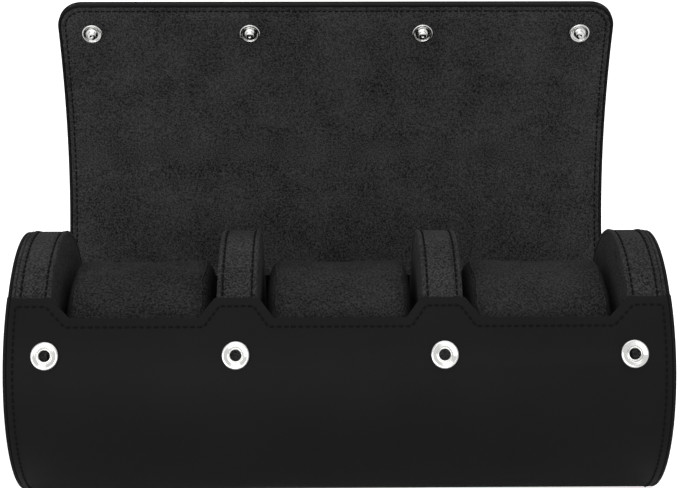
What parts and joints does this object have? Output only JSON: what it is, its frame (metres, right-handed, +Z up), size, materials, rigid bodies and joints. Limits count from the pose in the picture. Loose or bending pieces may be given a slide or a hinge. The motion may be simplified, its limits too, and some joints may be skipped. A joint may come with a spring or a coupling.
{
  "type": "watch travel case",
  "caption": "Cylindrical leather watch roll with padded compartments, lift-out pillows and a wide curved lid that closes on snap fasteners.",
  "frame": {"origin": "centre of the flat base face that the roll stands on", "axes": "+X along the roll, -Y towards the front with the snap sockets, +Z up"},
  "size_m": [0.2474, 0.1621, 0.1746],
  "materials": {
    "leather": "matte fine-grained",
    "suede": "brushed microsuede",
    "board": "grey board, unseen",
    "foam": "open-cell foam, unseen",
    "nickel": "polished nickel plate"
  },
  "bodies": {
    "roll": {"outer_wrap": "leather", "hinge_backing": "suede", "core_shell": "board", "trough_lining": "suede", "back_cover": "suede", "seat_pads": "foam", "divider_core_left": "foam", "divider_core_right": "foam", "divider_faces_left": "suede", "divider_faces_right": "suede", "divider_rim_left": "suede", "divider_rim_right": "suede", "end_core_left": "foam", "end_core_right": "foam", "end_face_left": "suede", "end_face_right": "suede", "end_rim_left": "suede", "end_rim_right": "suede", "end_panel_left": "leather", "end_panel_right": "leather", "end_piping_left": "leather", "end_piping_right": "leather", "socket_caps": "nickel", "socket_springs": "nickel", "socket_eyelets": "nickel"},
    "pillow_1": {"pillow_cover_1": "suede", "pillow_core_1": "foam"},
    "pillow_2": {"pillow_cover_2": "suede", "pillow_core_2": "foam"},
    "pillow_3": {"pillow_cover_3": "suede", "pillow_core_3": "foam"},
    "lid_strip_1": {"lid_leather_1": "leather", "lid_board_1": "board", "lid_lining_1": "suede"},
    "lid_strip_2": {"lid_leather_2": "leather", "lid_board_2": "board", "lid_lining_2": "suede"},
    "lid_strip_3": {"lid_leather_3": "leather", "lid_board_3": "board", "lid_lining_3": "suede"},
    "lid_strip_4": {"lid_leather_4": "leather", "lid_board_4": "board", "lid_lining_4": "suede"},
    "lid_strip_5": {"lid_leather_5": "leather", "lid_board_5": "board", "lid_lining_5": "suede"},
    "lid_strip_6": {"lid_leather_6": "leather", "lid_board_6": "board", "lid_lining_6": "suede"},
    "lid_strip_7": {"lid_leather_7": "leather", "lid_board_7": "board", "lid_lining_7": "suede"},
    "lid_strip_8": {"lid_leather_8": "leather", "lid_board_8": "board", "lid_lining_8": "suede", "snap_studs": "nickel", "snap_backs": "nickel"}
  },
  "joints": [
    {"name": "lid_fold", "type": "hinge", "parent": "roll", "child": "lid_strip_1", "pos_m": [0, 0.03306, 0.00189], "axis": [1, 0, 0], "range_deg": [0, 35.4]},
    {"name": "lid_curl_2", "type": "hinge", "parent": "lid_strip_1", "child": "lid_strip_2", "pos_m": [0, 0.05831, 0.00961], "axis": [1, 0, 0], "range_deg": [0, 9.31]},
    {"name": "lid_curl_3", "type": "hinge", "parent": "lid_strip_2", "child": "lid_strip_3", "pos_m": [0, 0.07981, 0.02494], "axis": [1, 0, 0], "range_deg": [0, 11.06]},
    {"name": "lid_curl_4", "type": "hinge", "parent": "lid_strip_3", "child": "lid_strip_4", "pos_m": [0, 0.09598, 0.04582], "axis": [1, 0, 0], "range_deg": [0, 12.81]},
    {"name": "lid_curl_5", "type": "hinge", "parent": "lid_strip_4", "child": "lid_strip_5", "pos_m": [0, 0.10619, 0.07017], "axis": [1, 0, 0], "range_deg": [0, 14.56]},
    {"name": "lid_curl_6", "type": "hinge", "parent": "lid_strip_5", "child": "lid_strip_6", "pos_m": [0, 0.11055, 0.09622], "axis": [1, 0, 0], "range_deg": [0, 16.31]},
    {"name": "lid_curl_7", "type": "hinge", "parent": "lid_strip_6", "child": "lid_strip_7", "pos_m": [0, 0.10963, 0.12261], "axis": [1, 0, 0], "range_deg": [0, 18.06]},
    {"name": "lid_tip", "type": "hinge", "parent": "lid_strip_7", "child": "lid_strip_8", "pos_m": [0, 0.10425, 0.14846], "axis": [1, 0, 0], "range_deg": [0, 19.8]},
    {"name": "pillow_1_seat", "type": "slide", "parent": "roll", "child": "pillow_1", "axis": [0, 0, -1], "range_m": [-0.07, 0]},
    {"name": "pillow_2_seat", "type": "slide", "parent": "roll", "child": "pillow_2", "axis": [0, 0, -1], "range_m": [-0.07, 0]},
    {"name": "pillow_3_seat", "type": "slide", "parent": "roll", "child": "pillow_3", "axis": [0, 0, -1], "range_m": [-0.07, 0]}
  ],
  "couplings": [
    {"joint": "lid_curl_2", "follows": "lid_fold", "ratio": 0.26271},
    {"joint": "lid_curl_3", "follows": "lid_fold", "ratio": 0.31215},
    {"joint": "lid_curl_4", "follows": "lid_fold", "ratio": 0.36158},
    {"joint": "lid_curl_5", "follows": "lid_fold", "ratio": 0.41102},
    {"joint": "lid_curl_6", "follows": "lid_fold", "ratio": 0.46045},
    {"joint": "lid_curl_7", "follows": "lid_fold", "ratio": 0.50989}
  ]
}
